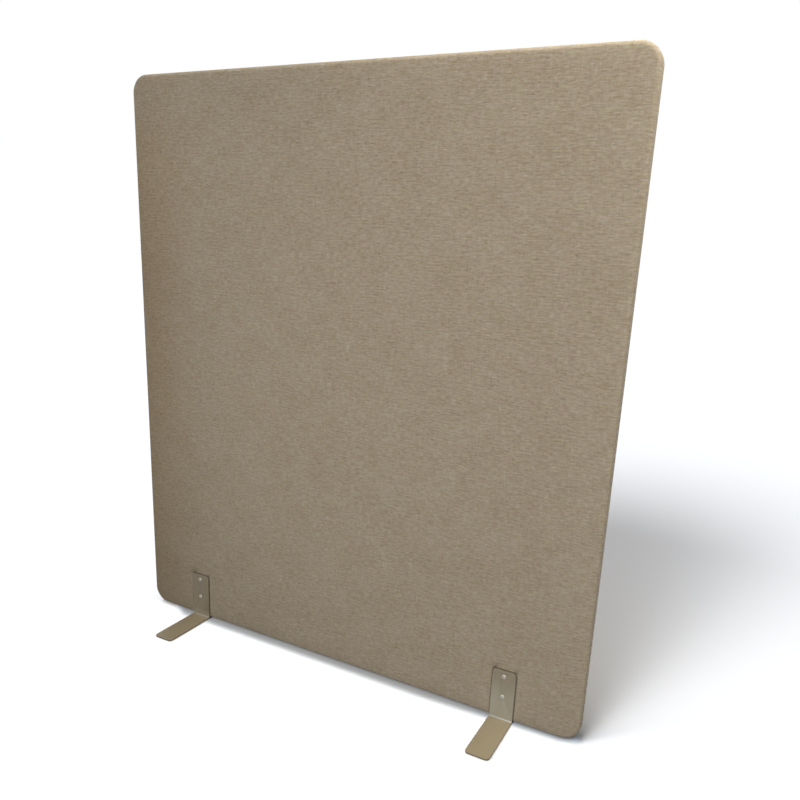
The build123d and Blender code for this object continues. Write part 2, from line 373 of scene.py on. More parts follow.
def bump(tree, height, distance, strength):
    """Relief from a height between 0 and 1, for a shader's normal."""
    inputs = {"Height": height, "Distance": distance, "Strength": strength}
    return wire(tree, "ShaderNodeBump", inputs).outputs[0]


def empty_tree(owner):
    """The owner's node tree, with nothing in it."""
    owner.use_nodes = True
    owner.node_tree.nodes.clear()
    return owner.node_tree


def new_material(name):
    """An empty material and its tree."""
    material = bpy.data.materials.new(name)
    return material, empty_tree(material)


def principled(tree, inputs):
    """Ends a material's tree with a shader that takes these inputs."""
    shader = wire(tree, "ShaderNodeBsdfPrincipled", inputs)
    wire(tree, "ShaderNodeOutputMaterial", {"Surface": shader.outputs[0]})


# Materials


# The heather's streaks: where they lie in the noise, their width, height and detail, where they
# begin and are full, and how strongly they take their colour
HEATHER_STREAKS = {
    "green_tint": ((3.1, 0.2, 0), 1.0, 1.0, 2.0, 0.50, 0.72, 0.8),
    "pink_tint": ((11.7, 5.4, 2), 1.0, 1.0, 2.0, 0.52, 0.74, 0.8),
    "grey_tint": ((7.3, 9.1, 4), 0.42, 0.75, 3.0, 0.57, 0.70, 0.75),
    "pale_tint": ((1.9, 14.2, 6), 0.38, 0.7, 3.0, 0.58, 0.72, 0.65),
}


# Between which heights the painted shade on the cloth's left strip, darker and yellower, fades, in metres
LEFT_SHADE_TOP = (1.28, 1.45)


def cover_cloth_material():
    """Heather cloth: tinted streaks along the weft, single yarns, painted shade that darkens and yellows the
    left side and darkens the creases, and a soft sheen.
    """
    look = settings("screen_cover")
    material, tree = new_material("heather_cover_cloth")
    weave = marked(tree, "weave", "Vector")
    across, tall, pitch = 1 / look.streak_length, 1 / look.streak_height, 1 / look.yarn_pitch

    def streaks(place, wide, high, detail):
        return noise_at(tree, weave, (across / wide, tall / high, 1), detail, 0.55, place)

    cloth = opaque(look.body_colour)
    for tint, (place, wide, high, detail, begin, full, strength) in HEATHER_STREAKS.items():
        amount = ramp(tree, streaks(place, wide, high, detail), begin, full, 0.0, strength)
        cloth = blended(tree, amount, cloth, opaque(getattr(look, tint)))

    short_yarn = streaks((6.6, 1.2, 3), 0.42, 1.1, 3.0)
    long_yarn = streaks((2.3, 8.4, 5), 1.4, 1.3, 3.0)
    yarn = plus(tree, times(tree, short_yarn, 0.6), times(tree, long_yarn, 0.4))
    warp = noise_at(tree, weave, (pitch / 1.6, across, 1), 1.0, 0.5, (4.4, 2.8, 8))
    mottle = noise_at(tree, weave, (9, 12, 1), 3.0, 0.6)
    step = ramp(tree, yarn, 0.35, 0.65, -0.131, 0.131)
    step = plus(tree, step, ramp(tree, warp, 0.3, 0.7, -0.045, 0.045))
    step = plus(tree, step, ramp(tree, mottle, 0.3, 0.7, -0.03, 0.03))
    tone = coloured(tree, [sloped(tree, step, gain, 1.0) for gain in look.yarn_steps])
    cloth = blended(tree, 1.0, cloth, tone, "MULTIPLY")

    x, _, z = split(tree, object_coordinates(tree))
    # Painted shade: the left strip is painted darker and yellower, less so at the top
    left_shade = ramp(tree, x, -panel_half_width, look.left_shade_width - panel_half_width, 1.0, 0.0)
    left_shade = times(tree, left_shade, ramp(tree, z, *LEFT_SHADE_TOP, 1.0, 0.2))
    cloth = blended(tree, left_shade, cloth, opaque(look.left_shade_tint), "MULTIPLY")
    # Painted shade: the creases and the grooves round the leaves are painted towards a dark tint
    crease = times(tree, marked(tree, "crease"), look.crease_shade)
    cloth = blended(tree, crease, cloth, opaque(look.crease_shade_tint))

    along, up, _ = split(tree, weave)
    rows = [calc(tree, "SINE", times(tree, place, 2 * math.pi * pitch)) for place in (along, up)]
    plain_weave = ramp(tree, times(tree, *rows), -1, 1)
    relief = plus(tree, times(tree, plain_weave, 0.45), times(tree, yarn, 0.75))
    principled(tree, {
        "Base Color": cloth, "Normal": bump(tree, relief, 0.0005, 0.6), "Roughness": 0.92,
        "Specular IOR Level": 0.25, "Sheen Weight": 0.12, "Sheen Roughness": 0.45,
        "Sheen Tint": (1.0, 0.93, 0.80, 1.0),
    })
    return material


def felt_material(name, rgb, fibre, contrast):
    """Matted fibres in two sizes, with a soft relief."""
    material, tree = new_material(name)
    place = object_coordinates(tree)
    fibres = noise_at(tree, place, (1 / fibre, 3 / fibre, 1 / fibre), 4.0, 0.7)
    clumps = noise_at(tree, place, (40, 40, 40), 3.0)
    amount = plus(tree, times(tree, fibres, 0.7), times(tree, clumps, 0.3))
    felt = blended(tree, ramp(tree, amount, 0.3, 0.7), opaque(rgb, 1 - contrast), opaque(rgb))
    principled(tree, {
        "Base Color": felt, "Normal": bump(tree, fibres, 0.0006, 0.7), "Roughness": 0.97, "Sheen Weight": 0.2,
    })
    return material


def tape_material():
    """A woven tape with a fine rib across it and some lint on it."""
    look = settings("screen_padding")
    material, tree = new_material("woven_closing_tape")
    place = object_coordinates(tree)
    along = split(tree, place)[0]
    rib = calc(tree, "SINE", times(tree, along, 2 * math.pi / look.tape_rib))
    lint = ramp(tree, noise_at(tree, place, (300, 900, 300), 3.0, 0.6), 0.4, 0.75)
    principled(tree, {
        "Base Color": blended(tree, lint, opaque(look.tape_colour), opaque(look.tape_colour, 2.2)),
        "Normal": bump(tree, ramp(tree, rib, -1, 1), 0.0002, 0.8), "Roughness": 0.85,
    })
    return material


def wood_material(name, rgb, along, rings):
    """Planed wood: growth rings along the grain, with fine pores."""
    material, tree = new_material(name)
    place = object_coordinates(tree)
    wander = noise_at(tree, place, [9.0 if axis == along else 60.0 for axis in "XYZ"], 3.0)
    pores = noise_at(tree, place, [40.0 if axis == along else 1600.0 for axis in "XYZ"], 3.0)
    late = ramp(tree, calc(tree, "FRACT", times(tree, wander, rings)), 0.45, 0.95, 0.0, 0.6)
    darker = opaque([value * left for value, left in zip(rgb, (0.72, 0.62, 0.50))])
    wood = blended(tree, late, opaque(rgb), darker)
    principled(tree, {
        "Base Color": blended(tree, ramp(tree, pores, 0.55, 0.8, 0.0, 0.35), wood, darker),
        "Roughness": ramp(tree, pores, 0.2, 0.8, 0.55, 0.75), "Normal": bump(tree, pores, 0.0002, 0.5),
    })
    return material


# Where the lacquer's painted light and shade change, in metres: the heights where the flat leaf becomes the
# upright one, where the painted light by the bend ends and where the painted light low on a leaf ends, and
# the width over which the right feet's painted light grows
LEAF_BEGINS, BEND_LIGHT, LEAF_LIGHT = (0.0045, 0.0065), (0.010, 0.028), (0.05, 0.135)
LIGHT_ACROSS = (-0.45, 0.45)


def foot_paint_material():
    """Pearl lacquer on steel: a fine fleck, an orange peel, rubbed spots, painted light and shade on the
    uprights and edges, and a painted highlight in the bend.
    """
    look = settings("screen_foot")
    material, tree = new_material("pearl_foot_lacquer")
    place = object_coordinates(tree)
    fleck = noise_at(tree, place, (2600, 2600, 2600), 1.0)
    peel = noise_at(tree, place, (520, 520, 520))
    rubbed = noise_at(tree, place, (38, 38, 38), 4.0, 0.65)
    x, _, height = split(tree, place)
    # Painted light: lighter low on the uprights by the bend and on the right feet's uprights; painted shade:
    # darker high on the uprights
    lit_by_the_bend = ramp(tree, height, *BEND_LIGHT, 0.6, 0.0)
    lit_right_leaf = times(tree, ramp(tree, x, *LIGHT_ACROSS), ramp(tree, height, *LEAF_LIGHT, 0.9, 0.15))
    lit_low = larger(tree, lit_by_the_bend, lit_right_leaf)
    leaf = blended(tree, lit_low, opaque(look.shaded_upright_colour), opaque(look.lit_upright_colour))
    paint = blended(tree, ramp(tree, height, *LEAF_BEGINS), opaque(look.paint_colour), leaf)
    speck = ramp(tree, fleck, 0.35, 0.65, 0.88, 1.12)
    paint = wire(tree, "ShaderNodeVectorMath", {0: paint, "Scale": speck}, operation="SCALE").outputs[0]
    # Painted shade on the bar's sides and ends, and a painted highlight in the inside of the bend
    paint = blended(tree, marked(tree, "cut_edge"), paint, opaque(look.edge_shade_colour))
    paint = blended(tree, marked(tree, "rubbed_bend"), paint, opaque(look.bend_highlight_colour))
    principled(tree, {
        "Base Color": paint, "Roughness": ramp(tree, rubbed, 0.35, 0.7, 0.34, 0.46),
        "Normal": bump(tree, peel, 0.00006, 0.5), "Metallic": 0.1, "Specular IOR Level": 0.3,
    })
    return material


def plated_material(name, rgb, rough, metal=1.0):
    """Zinc plate with fine tool marks and faint clouding."""
    material, tree = new_material(name)
    place = object_coordinates(tree)
    cloud = ramp(tree, noise_at(tree, place, (350, 350, 350), 3.0), 0.3, 0.7)
    marks = noise_at(tree, place, (900, 900, 7000))
    principled(tree, {
        "Base Color": blended(tree, cloud, opaque(rgb, 0.82), opaque(rgb)), "Metallic": metal,
        "Roughness": ramp(tree, marks, 0.3, 0.7, rough - 0.06, rough + 0.08),
        "Normal": bump(tree, marks, 0.00003, 0.4),
    })
    return material


# Meshes


def linked(name, data):
    """A new object in the scene that holds the data."""
    holder = bpy.data.objects.new(name, data)
    bpy.context.scene.collection.objects.link(holder)
    return holder


def add_piece(name, vertices, faces, material):
    """A new smooth piece at the origin, its faces turned outwards."""
    mesh = bpy.data.meshes.new(name)
    mesh.from_pydata([tuple(v) for v in vertices], [], [tuple(f) for f in faces])
    bm = bmesh.new()
    bm.from_mesh(mesh)
    bmesh.ops.recalc_face_normals(bm, faces=bm.faces)
    bm.to_mesh(mesh)
    bm.free()
    mesh.materials.append(material)
    mesh.shade_smooth()
    return linked(name, mesh)


# Edges that turn more than this are rounded
SHARP_TURN = math.radians(40)


def softened_node(name, node, width, material):
    """A piece with the node's form, its flat faces whole and its sharp edges rounded."""
    bm = bmesh.new()
    bm.from_mesh(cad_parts[node].data)
    bmesh.ops.remove_doubles(bm, verts=bm.verts, dist=1e-6)
    bmesh.ops.dissolve_limit(bm, angle_limit=math.radians(1), verts=bm.verts, edges=bm.edges)
    sharp = [edge for edge in bm.edges if edge.is_manifold and edge.calc_face_angle() > SHARP_TURN]
    bmesh.ops.bevel(
        bm, geom=sharp, offset=width, segments=3, profile=0.5, affect="EDGES", clamp_overlap=True
    )
    bmesh.ops.triangulate(bm, faces=[face for face in bm.faces if len(face.verts) > 4])
    mesh = bpy.data.meshes.new(name)
    bm.to_mesh(mesh)
    bm.free()
    mesh.materials.append(material)
    return linked(name, mesh)


def seat(piece, slot, *nodes):
    """The piece rides on the screen and stands for the nodes, which it hides; the slot is not used."""
    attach(piece, BODY)
    if nodes:
        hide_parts(*nodes)


def smooth_step(value):
    """A soft step from 0 to 1 of an array."""
    t = np.clip(value, 0, 1)
    return t * t * (3 - 2 * t)


def spaced(start, stop, step):
    """Places from start up to stop, evenly spaced and about a step apart."""
    count = math.ceil((stop - start) / step - 0.01)
    return list(np.linspace(start, stop, count + 1)[:-1]) if count > 0 else []


def core_sizes():
    """Half the width and height of the panel inside its rounded border."""
    corner = settings("screen_cover").corner_radius
    return panel_half_width - corner, panel_half_height - corner


def roll_sizes():
    """Where along the developed edge the roll starts, the side starts and the cloth ends."""
    look = settings("screen_cover")
    roll_start = look.corner_radius - look.roll_radius
    side_start = roll_start + look.roll_radius * math.pi / 2
    return roll_start, side_start, side_start + panel_half_thickness - look.roll_radius


def edge_places():
    """Places out from the core of the panel to the seam, closer together on the roll."""
    look = settings("screen_cover")
    roll_start, side_start, seam = roll_sizes()
    groove_start = seam - look.seam_width
    places = spaced(0, roll_start, look.border_step) + spaced(roll_start, side_start, look.roll_step)
    places += spaced(side_start, groove_start, look.side_step)
    return places + spaced(groove_start, seam, look.seam_width / 4) + [seam]


# How much of a crease's length the fine mesh beside a leaf covers
CREASE_SHARE = 0.9


def line_places(core_half, spans):
    """Mesh lines across the whole panel, with the given spacing inside each span."""
    coarse = settings("screen_cover").coarse_step
    edge = np.array(edge_places())
    places = []
    start = -core_half
    for low, high, step in spans:
        places += spaced(start, low, coarse) + spaced(low, high, step)
        start = high
    places += spaced(start, core_half, coarse)
    return np.array(list(-core_half - edge[::-1]) + places[1:] + list(core_half + edge))


def foot_spans():
    """Spans of finer mesh lines across the feet and over their leaves' tops."""
    look = settings("screen_cover")
    fine, finest, corner = look.fine_step, look.finest_step, look.leaf_corner
    groove = look.groove_floor + look.groove_rise + finest
    crease_run = look.crease_length * CREASE_SHARE
    across = []
    for place in foot_places:
        left, right = place - foot_half_width, place + foot_half_width
        across += [
            (left - crease_run, left - groove, fine), (left - groove, left, finest),
            (left, left + corner, fine), (right - corner, right, fine),
            (right, right + groove, finest), (right + groove, right + crease_run, fine),
        ]
    top = leaf_height - panel_middle
    upward = [
        (top - corner, top, fine), (top, top + groove, finest),
        (top + groove, top + look.crease_length, fine),
    ]
    return across, upward


def panel_grid():
    """The developed mesh of one cover: its lines, and each point's place, direction and reach."""
    core_x, core_z = core_sizes()
    across, upward = foot_spans()
    u, v = np.meshgrid(line_places(core_x, across), line_places(core_z, upward))
    core_u, core_v = np.clip(u, -core_x, core_x), np.clip(v, -core_z, core_z)
    out_u, out_v = u - core_u, v - core_v
    wide, tall = np.abs(out_u), np.abs(out_v)
    reach = np.maximum(wide, tall)
    safe = np.maximum(reach, 1e-9)
    angle = np.where(wide >= tall, math.pi / 4 * tall / safe, math.pi / 2 - math.pi / 4 * wide / safe)
    way = np.stack([np.sign(out_u) * np.cos(angle), np.sign(out_v) * np.sin(angle)], -1)
    core = np.stack([core_u, core_v], -1)
    return core, way, reach, angle


def leaf_distance(x, z):
    """How far each point lies outside the nearest leaf's footprint, less than 0 inside it."""
    corner = settings("screen_cover").leaf_corner
    nearest = np.full(x.shape, 9.0)
    for place in foot_places:
        side = np.abs(x - place) - foot_half_width + corner
        rise = z - leaf_height + corner
        outside = np.hypot(np.maximum(side, 0), np.maximum(rise, 0))
        inside = np.minimum(np.maximum(side, rise), 0)
        nearest = np.minimum(nearest, outside + inside - corner)
    return nearest


# Each crease at a leaf's top corner: the corner's side, its slant in degrees and its strength
LEAF_CREASES = (
    (-1, 112, 1.3), (-1, 72, 0.8), (-1, 20, 0.5),
    (1, 58, 0.7), (1, 96, 0.55), (1, 24, 0.45),
)
# Over what length a crease begins, and half its width there and for each metre along it
CREASE_BEGINS, CREASE_WIDTH, CREASE_SPREAD = 0.004, 0.0020, 0.07


def leaf_creases(x, z):
    """Short creases that fan out from the top corners of each leaf, as depths."""
    look = settings("screen_cover")
    depth = np.zeros(x.shape)
    inward = look.leaf_corner / 3
    for place in foot_places:
        for side, degrees, strength in LEAF_CREASES:
            from_corner_x = side * (x - place) - foot_half_width + inward
            from_corner_z = z - leaf_height + inward
            slant = math.radians(degrees)
            along = from_corner_x * math.cos(slant) + from_corner_z * math.sin(slant)
            off = -from_corner_x * math.sin(slant) + from_corner_z * math.cos(slant)
            fade = smooth_step(along / CREASE_BEGINS) * (1 - smooth_step(along / look.crease_length))
            width = CREASE_WIDTH + CREASE_SPREAD * np.maximum(along, 0)
            depth += strength * look.crease_depth * fade * np.exp(-((off / width) ** 2))
    return depth


# The padding's waves: a seed for each side, and how low and how short the ripples on them are
WAVE_SEEDS = {FRONT: 2.5, BACK: 9.5}
RIPPLE_HEIGHT, RIPPLES, RIPPLE_SEED = 0.35, 3, 5


def padding_waves(x, z, side):
    """Slow, shallow waves of the padding under the cloth, with ripples on them."""
    look = settings("screen_cover")
    seed, size = WAVE_SEEDS[side], look.wave_length
    heights = [
        noise.noise(Vector((a / size, b / size, seed)))
        + RIPPLE_HEIGHT * noise.noise(Vector((RIPPLES * a / size, RIPPLES * b / size, seed + RIPPLE_SEED)))
        for a, b in zip(x.ravel(), z.ravel())
    ]
    return look.wave_height * np.array(heights).reshape(x.shape)


def crown(x, z):
    """How much thinner the padding is near the panel's edges."""
    look = settings("screen_cover")
    from_side = panel_half_width - np.abs(x)
    from_end = panel_half_height - np.abs(z - panel_middle)
    side = np.clip(1 - from_side / look.crown_reach, 0, 1) ** 2
    end = np.clip(1 - from_end / look.end_reach, 0, 1) ** 2
    return look.crown_drop * side + np.where(z > panel_middle, look.top_drop, look.bottom_drop) * end


def leaf_groove(away, depth):
    """The depth of the cloth beside and under the leaves, and how much painted shade each point in the groove
    gets.
    """
    look = settings("screen_cover")
    bulge = smooth_step(away / (look.groove_floor + look.groove_rise)) * np.exp(-away / look.bulge_reach)
    raised = depth + look.bulge_height * np.where(away > 0, bulge, 0)
    pressed = leaf_back - look.leaf_clearance
    rise = smooth_step((away - look.groove_floor) / look.groove_rise)
    sunk = np.minimum(raised, pressed) + np.maximum(raised - pressed, 0) * rise
    return sunk, np.where(away > 0, 1 - rise, 0)


# Four times the gathers round each corner, and how much painted shade a full crease gets beside a leaf's
# groove
GATHERS, CREASE_SHADE_TONE = 36, 0.6


def cover_surface(side):
    """The outside of one cover as a grid of points, its developed coordinates and its painted shade in the
    creases and grooves.
    """
    look = settings("screen_cover")
    core, way, reach, angle = panel_grid()
    roll_start, side_start, seam = roll_sizes()
    turn = np.clip((reach - roll_start) / look.roll_radius, 0, math.pi / 2)
    offset = np.minimum(reach, roll_start) + look.roll_radius * np.sin(turn)
    depth = panel_half_thickness - look.roll_radius * (1 - np.cos(turn)) - np.maximum(reach - side_start, 0)
    groove = smooth_step((reach - seam + look.seam_width) / look.seam_width)
    offset -= look.seam_depth * groove
    round_corner = np.sin(2 * angle) ** 2
    offset += look.gather_height * round_corner * np.sin(GATHERS * angle) * smooth_step(turn) * (1 - groove)
    flat = core + way * offset[..., None]
    x, z = flat[..., 0], flat[..., 1] + panel_middle
    waves = padding_waves(x, z, side) - look.wave_height
    depth = depth + depth / panel_half_thickness * (waves - crown(x, z))
    away = leaf_distance(x, z)
    creases = leaf_creases(x, z)
    sunk, crease = leaf_groove(away, depth)
    depth = sunk - creases * smooth_step(away / look.groove_floor)
    crease = np.clip(crease + creases / look.crease_depth * CREASE_SHADE_TONE, 0, 1)
    points = np.stack([x, side * depth, z], -1)
    return points, core + way * reach[..., None], crease


def inset(points, side, distance):
    """The grid moved into the panel by the distance, but not past its middle."""
    along, up = np.gradient(points, axis=1), np.gradient(points, axis=0)
    normals = np.cross(along, up)
    normals /= np.maximum(np.linalg.norm(normals, axis=-1, keepdims=True), 1e-12)
    moved = points + side * distance * normals
    moved[..., 1] = np.where(side * moved[..., 1] < 0, 0, moved[..., 1])
    return moved


def shell_between(name, outer, inner, material):
    """A closed piece between two grids that share their lines."""
    rows, columns = outer.shape[:2]
    count = rows * columns
    index = np.arange(count).reshape(rows, columns)
    quads = np.stack([index[:-1, :-1], index[:-1, 1:], index[1:, 1:], index[1:, :-1]], -1).reshape(-1, 4)
    rim = np.concatenate([index[0, :], index[1:, -1], index[-1, -2::-1], index[-2:0:-1, 0]])
    following = np.roll(rim, -1)
    band = np.stack([following, rim, rim + count, following + count], -1)
    faces = np.concatenate([quads, quads[:, ::-1] + count, band])
    vertices = np.concatenate([outer.reshape(-1, 3), inner.reshape(-1, 3)])
    return add_piece(name, vertices, faces, material)


def store_weave(piece, developed, crease):
    """Keeps the developed coordinates, for the weave, and the painted shade of the creases and grooves on
    both layers of the piece.
    """
    flat = np.concatenate([developed, np.zeros((*developed.shape[:2], 1))], -1).reshape(-1, 3)
    for name, kind, key, layer in (
        ("weave", "FLOAT_VECTOR", "vector", flat), ("crease", "FLOAT", "value", crease.ravel()),
    ):
        both = np.concatenate([layer, layer]).astype(np.float32).ravel()
        piece.data.attributes.new(name, kind, "POINT").data.foreach_set(key, both)


def make_cover(side, name, node, material):
    """One cloth cover, a closed shell as thick as the cloth."""
    outer, developed, crease = cover_surface(side)
    inner = inset(outer, side, settings("screen_cover").cloth_thickness)
    piece = shell_between(name, outer, inner, material)
    store_weave(piece, developed, crease)
    seat(piece, "cover_cloth", node)
    seam = roll_sizes()[-1]
    flat = tuple(2 * (half + seam) for half in core_sizes())


class SCREEN_OT_make_covers(bpy.types.Operator):
    """Makes the front and back cloth covers"""

    bl_idname = "screen.make_covers"
    bl_label = "Make Covers"

    def execute(self, context):
        material = cover_cloth_material()
        make_cover(FRONT, "front_cloth_cover", "front_cover", material)
        make_cover(BACK, "back_cloth_cover", "back_cover", material)
        return {"FINISHED"}


def timber_side(reach, side):
    """Offset and depth of the timber frame's own surface, along the same developed edge."""
    look = settings("screen_cover")
    gap = settings("screen_padding").clearance
    roll_start, _, seam = roll_sizes()
    face_edge = look.corner_radius - timber_inset + gap
    along = (reach - roll_start) / (seam - roll_start)
    face_share = (face_edge - roll_start) / (face_edge - roll_start + timber_half_thickness)
    offset = np.minimum(reach, roll_start) + (face_edge - roll_start) * np.clip(along / face_share, 0, 1)
    depth = (timber_half_thickness + gap) * (1 - np.clip((along - face_share) / (1 - face_share), 0, 1))
    return offset, side * depth


def make_wadding(side, name, node, material):
    """The felt between one cover and the timber."""
    gap = settings("screen_padding").clearance
    core, way, reach, _ = panel_grid()
    outer = inset(cover_surface(side)[0], side, settings("screen_cover").cloth_thickness + gap)
    offset, depth = timber_side(reach, side)
    flat = core + way * offset[..., None]
    inner = np.stack([flat[..., 0], depth, flat[..., 1] + panel_middle], -1)
    piece = shell_between(name, outer, inner, material)
    seat(piece, "wadding", node)


def make_core(name, node, material):
    """One sound-absorbing slab, cut round its foot block, with softened edges."""
    piece = softened_node(name, node, settings("screen_padding").core_edge, material)
    seat(piece, "core_felt", node)


class SCREEN_OT_make_padding(bpy.types.Operator):
    """Makes the felt waddings and the sound-absorbing core"""

    bl_idname = "screen.make_padding"
    bl_label = "Make Padding"

    def execute(self, context):
        look = settings("screen_padding")
        wadding = felt_material("felt_wadding", look.felt_colour, fibre=0.0009, contrast=0.16)
        core = felt_material("core_felt_board", look.core_colour, fibre=0.0016, contrast=0.30)
        make_wadding(FRONT, "front_felt_wadding", "front_wadding", wadding)
        make_wadding(BACK, "back_felt_wadding", "back_wadding", wadding)
        make_core("left_felt_core", "left_core_slab", core)
        make_core("right_felt_core", "right_core_slab", core)
        return {"FINISHED"}


class SCREEN_OT_finish_timber(bpy.types.Operator):
    """Gives the timber frame, its tenons and its sleeves their finishes"""

    bl_idname = "screen.finish_timber"
    bl_label = "Finish Timber"

    def execute(self, context):
        look = settings("screen_padding")
        upright = wood_material("pine_upright", look.timber_colour, along="Z", rings=9.0)
        level = wood_material("pine_level", look.timber_colour, along="X", rings=9.0)
        beech = wood_material("beech_tenon", look.tenon_colour, along="X", rings=16.0)
        sleeve = plated_material("sleeve_plate", look.sleeve_colour, rough=0.34)
        for material, nodes in (
            (upright, ("frame_left_stile", "frame_right_stile", "frame_mid_stile")),
            (level, ("frame_top_rail", "frame_bottom_rail", "left_foot_block", "right_foot_block")),
            (beech, ("frame_tenons",)),
            (sleeve, ("threaded_sleeves",)),
        ):
            for node in nodes:
                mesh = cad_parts[node].data
                mesh.materials.clear()
                mesh.materials.append(material)
        return {"FINISHED"}


# How much of a face's direction lies along an axis when it faces that way, is turned to it in the bend,
# or belongs to the bar's sides
FACING, TURNED, SIDEWAYS = 0.7, 0.2, 0.3


def store_bar_marks(mesh):
    """Marks the bar's sides and ends for painted shade, and the inside of its bend for a painted highlight.
    """
    look = settings("screen_foot")
    far_end = leaf_height * 0.9
    near_bend = leaf_back + leaf_height * 0.1
    shaded_edges, bends = [], []
    for face in mesh.polygons:
        out, centre = face.normal, face.center
        end = (out.z > FACING and centre.z > far_end) or (abs(out.y) > FACING and abs(centre.y) > far_end)
        bent = out.z > TURNED and abs(out.y) > TURNED and abs(centre.y) < near_bend and centre.z < far_end / 4
        sideways = abs(out.x) > SIDEWAYS
        # Painted shade on the sides and ends, and a painted highlight in the bend, stronger on the right feet
        highlight = look.left_bend_highlight if centre.x < 0 else look.right_bend_highlight
        shaded_edges.append(1.0 if end or sideways else 0.0)
        bends.append(highlight if bent and not sideways else 0.0)
    for name, marks in (("cut_edge", shaded_edges), ("rubbed_bend", bends)):
        mesh.attributes.new(name, "FLOAT", "FACE").data.foreach_set("value", marks)


def make_foot(name, node, material):
    """One foot bar, from its node's form, with its sharp edges rounded."""
    piece = softened_node(name, node, settings("screen_foot").edge_round, material)
    piece.data.shade_smooth()
    piece.data.set_sharp_from_angle(angle=math.radians(35))
    store_bar_marks(piece.data)
    seat(piece, "foot_paint", node)


class SCREEN_OT_make_feet(bpy.types.Operator):
    """Makes the four bent feet"""

    bl_idname = "screen.make_feet"
    bl_label = "Make Feet"

    def execute(self, context):
        paint = foot_paint_material()
        for node in ("front_left_foot", "front_right_foot", "back_left_foot", "back_right_foot"):
            make_foot(node + "_bar", node, paint)
        return {"FINISHED"}


# What repeats


def new_geometry_tree(name, numbers, whole_numbers=()):
    """A geometry node tree with named inputs, and the sockets that give them."""
    tree = bpy.data.node_groups.new(name, "GeometryNodeTree")
    tree.interface.new_socket("Geometry", in_out="OUTPUT", socket_type="NodeSocketGeometry")
    for kind, labels in (("Geometry", ("Geometry",)), ("Float", numbers), ("Int", whole_numbers)):
        for label in labels:
            tree.interface.new_socket(label, in_out="INPUT", socket_type="NodeSocket" + kind)
    return tree, tree.nodes.new("NodeGroupInput").outputs


def end_tree(tree, instances, material):
    """Ends a tree with real geometry in the given material."""
    real = wire(tree, "GeometryNodeRealizeInstances", {0: instances}).outputs[0]
    painted = wire(tree, "GeometryNodeSetMaterial", {"Geometry": real, "Material": material}).outputs[0]
    wire(tree, "NodeGroupOutput", {0: wire(tree, "GeometryNodeSetShadeSmooth", {0: painted}).outputs[0]})
    return tree


def two_rows(tree, wide, tall, count, turn, place):
    """Points in two rows on a grid, turned and moved to their place."""
    sizes = {"Size X": wide, "Size Y": tall, "Vertices X": count, "Vertices Y": 2}
    grid = wire(tree, "GeometryNodeMeshGrid", sizes).outputs["Mesh"]
    return wire(tree, "GeometryNodeTransform", {
        "Geometry": grid, "Rotation": turn, "Translation": place,
    }).outputs[0]


def set_out(tree, points, shape, **how):
    """The shape set on each point."""
    inputs = {"Points": points, "Instance": shape, **how}
    return wire(tree, "GeometryNodeInstanceOnPoints", inputs).outputs[0]


def spread(piece, tree, values):
    """Runs the tree on the piece and keeps the result as its plain mesh."""
    modifier = piece.modifiers.new(tree.name, "NODES")
    modifier.node_group = tree
    for item in tree.interface.items_tree:
        if item.in_out == "INPUT" and item.name in values:
            modifier[item.identifier] = values[item.name]
    bpy.context.view_layer.update()
    whole = bpy.data.meshes.new_from_object(piece.evaluated_get(bpy.context.evaluated_depsgraph_get()))
    piece.modifiers.clear()
    piece.data = whole
    whole.name = piece.name


def tube(rings, centres=()):
    """The points and faces of a tube through equal rings, its ends flat or fanned round centres."""
    count = len(rings[0])
    vertices = [point for points in rings for point in points]
    ends = (0, len(vertices) - count)
    sides = [(step, (step + 1) % count) for step in range(count)]
    faces = [
        (row + step, row + after, row + count + after, row + count + step)
        for row in range(0, ends[1], count) for step, after in sides
    ]
    if not centres:
        faces += [tuple(range(end, end + count)) for end in ends]
    for end, centre in zip(ends, centres):
        faces += [(end + step, end + after, len(vertices)) for step, after in sides]
        vertices.append(centre)
    return vertices, faces


def ring(radius, height, hexagon=False, count=36):
    """A ring of points round the Y axis, round or on a hexagon of that half width."""
    points = []
    for step in range(count):
        angle = 2 * math.pi * step / count
        out = radius
        if hexagon:
            out = radius / math.cos((angle % (math.pi / 3)) - math.pi / 6)
        points.append((out * math.sin(angle), height, out * math.cos(angle)))
    return points


def foot_screw_mesh():
    """One screw seated on the origin, its round head towards -Y, with a hexagon socket."""
    look = settings("screen_foot")
    top = -look.head_height
    floor = look.socket_depth - look.head_height
    socket, flat, lip = look.socket_width / 2, look.socket_width * 2 / 3, look.socket_width / 16
    rim, draft, dome_steps = look.head_height * 0.26, 0.98, 7
    rings = [
        ring(socket * draft, floor, hexagon=True),
        ring(socket, top + lip, hexagon=True),
        ring(socket + lip, top, hexagon=True),
        ring(flat + lip, top),
    ]
    for step in range(1, dome_steps + 1):
        angle = math.pi / 2 * step / dome_steps
        out = flat + (look.head_radius - flat) * math.sin(angle)
        rings.append(ring(out, (top + rim) * math.cos(angle) - rim))
    rings += [
        ring(look.head_radius, -lip),
        ring(look.head_radius - lip, 0),
        ring(look.shank_radius, 0),
        ring(look.shank_radius, look.shank_length - lip * 3),
        ring(look.shank_radius - lip * 3, look.shank_length),
    ]
    return tube(rings, ((0, floor, 0), (0, look.shank_length, 0)))


